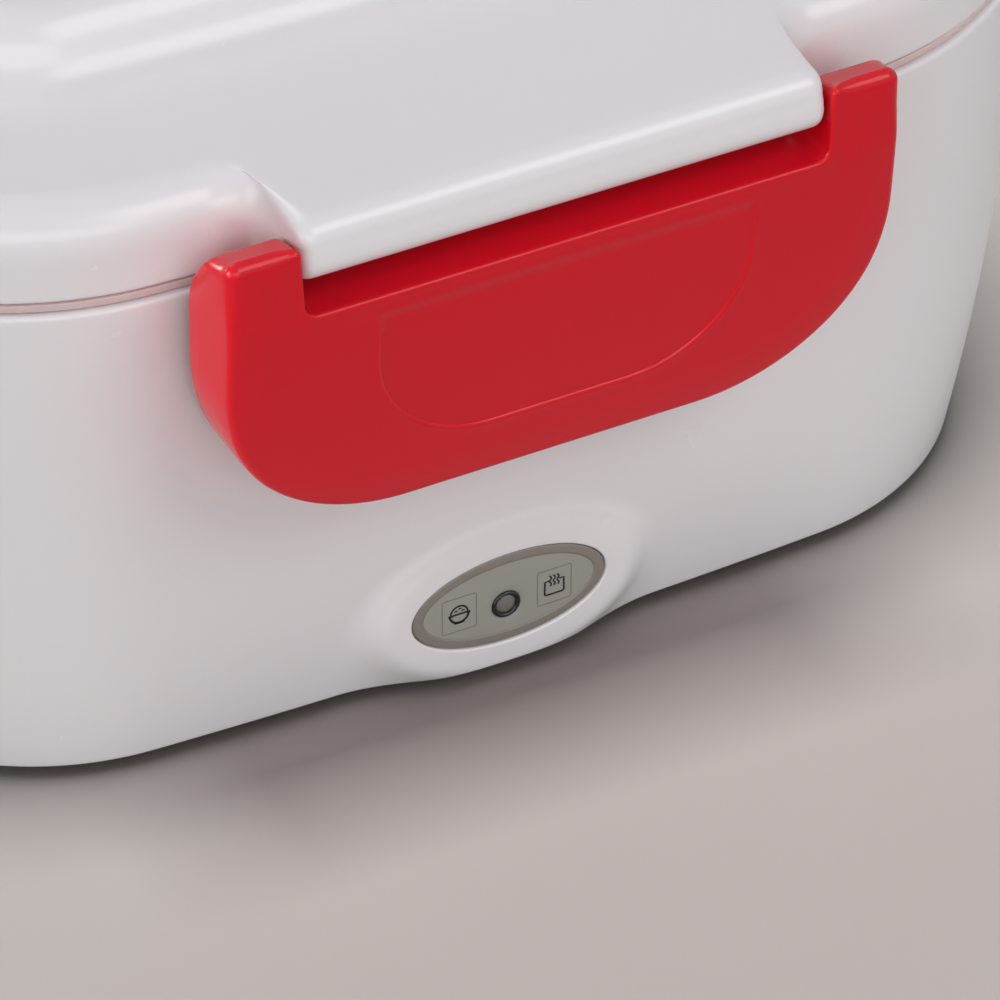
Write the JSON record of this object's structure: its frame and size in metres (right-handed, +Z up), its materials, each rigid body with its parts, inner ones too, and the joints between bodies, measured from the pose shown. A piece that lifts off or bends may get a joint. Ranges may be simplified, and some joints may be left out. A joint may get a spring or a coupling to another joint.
{
  "type": "electric lunch box",
  "caption": "Tapered heated lunch box with a lift-off lid held by a hinged latch at each end, a fold-down carrying handle, a steel tray and a lamp plate.",
  "frame": {"origin": "centre of the box's outline on the surface that its four feet rest on", "axes": "+Z up, +Y along the box from the lamp end to the inlet end, +X to the right seen from the lamp end"},
  "size_m": [0.169, 0.238, 0.1053],
  "materials": {
    "white_gloss": "glossy moulded polypropylene",
    "white_inner": "satin food-grade polypropylene",
    "red_gloss": "glossy moulded polypropylene",
    "red_soft": "silicone, satin",
    "seal_silicone": "translucent silicone",
    "lamp_grey": "satin printed plastic",
    "black_plastic": "fine texture",
    "lens": "smoked clear plastic",
    "foot_rubber": "matt",
    "tray_steel": "brushed stainless steel",
    "pin_steel": "bright drawn steel",
    "plate_aluminium": "turned, fine rings",
    "element_ceramic": "extruded casing of the ceramic element",
    "cutout_phenolic": "moulded phenolic",
    "pin_brass": "plated",
    "board_green": "lacquered board",
    "led_red": "clear tinted epoxy",
    "wire_brown": "insulation",
    "wire_blue": "insulation",
    "wire_grey": "insulation"
  },
  "bodies": {
    "base": {"outer_shell": "white_gloss", "inner_liner": "white_inner", "base_plate": "white_inner", "rubber_feet": "foot_rubber", "base_screws": "pin_steel", "heating_plate": "plate_aluminium", "plate_gasket": "red_soft", "ptc_heater": "element_ceramic", "heater_clamp": "pin_steel", "clamp_screws": "pin_steel", "thermal_cutout": "cutout_phenolic", "power_inlet": "black_plastic", "inlet_pins": "pin_brass", "live_wire": "wire_brown", "link_wire": "wire_brown", "neutral_wire": "wire_blue", "lamp_wires": "wire_grey", "lamp_plate": "lamp_grey", "lamp_ring": "black_plastic", "lamp_lens": "lens", "indicator_led": "led_red", "lamp_board": "board_green", "food_tray": "tray_steel", "side_cup": "white_inner"},
    "lid": {"lid_shell": "white_gloss", "lid_liner": "white_inner", "lid_seal": "seal_silicone", "handle_pins": "pin_steel"},
    "front_latch": {"latch_front": "red_gloss"},
    "rear_latch": {"latch_rear": "red_gloss"},
    "carry_handle": {"handle": "red_gloss"},
    "vent": {"vent_plug": "red_soft"},
    "cup_cover": {"side_cup_lid": "red_gloss"}
  },
  "joints": [
    {"name": "lid_lift", "type": "slide", "parent": "base", "child": "lid", "axis": [0, 0, 1], "range_m": [0, 0.12]},
    {"name": "front_latch_swing", "type": "hinge", "parent": "lid", "child": "front_latch", "pos_m": [0, -0.1156, 0.0796], "axis": [-1, 0, 0], "range_deg": [0, 110]},
    {"name": "rear_latch_swing", "type": "hinge", "parent": "lid", "child": "rear_latch", "pos_m": [0, 0.1156, 0.0796], "axis": [1, 0, 0], "range_deg": [0, 110]},
    {"name": "handle_swing", "type": "hinge", "parent": "lid", "child": "carry_handle", "pos_m": [0, 0, 0.0993], "axis": [1, 0, 0], "range_deg": [0, 90]},
    {"name": "vent_pull", "type": "slide", "parent": "lid", "child": "vent", "axis": [0, 0, 1], "range_m": [0, 0.003]},
    {"name": "cup_cover_lift", "type": "slide", "parent": "base", "child": "cup_cover", "axis": [0, 0, 1], "range_m": [0, 0.012]}
  ]
}
